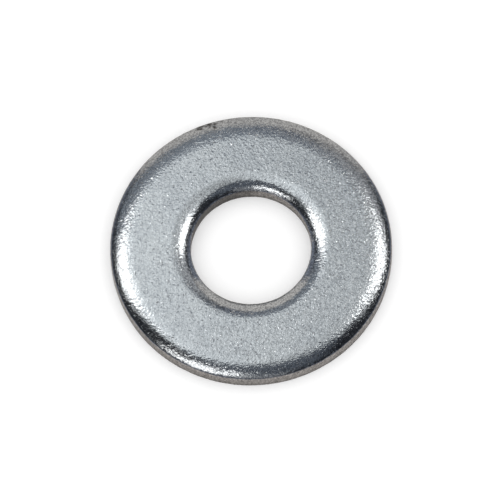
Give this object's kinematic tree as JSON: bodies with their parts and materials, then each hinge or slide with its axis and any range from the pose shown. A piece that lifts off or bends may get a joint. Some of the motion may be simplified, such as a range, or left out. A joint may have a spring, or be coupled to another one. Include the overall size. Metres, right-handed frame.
{
  "type": "flat washer",
  "caption": "Round flat washer stamped from zinc-plated steel, with a plain central hole and softly rolled edges on its upper face.",
  "frame": {"origin": "on the hole's axis, in the plane of the flat underside", "axes": "+Z along the hole's axis, up out of the face with the rolled edges; X and Y lie in the underside's plane"},
  "size_m": [0.0186, 0.0186, 0.0016],
  "materials": {
    "zinc_plated_steel": "bright zinc plate, tumbled: satin with a fine grain"
  },
  "bodies": {
    "root": {"washer": "zinc_plated_steel"}
  },
  "joints": []
}
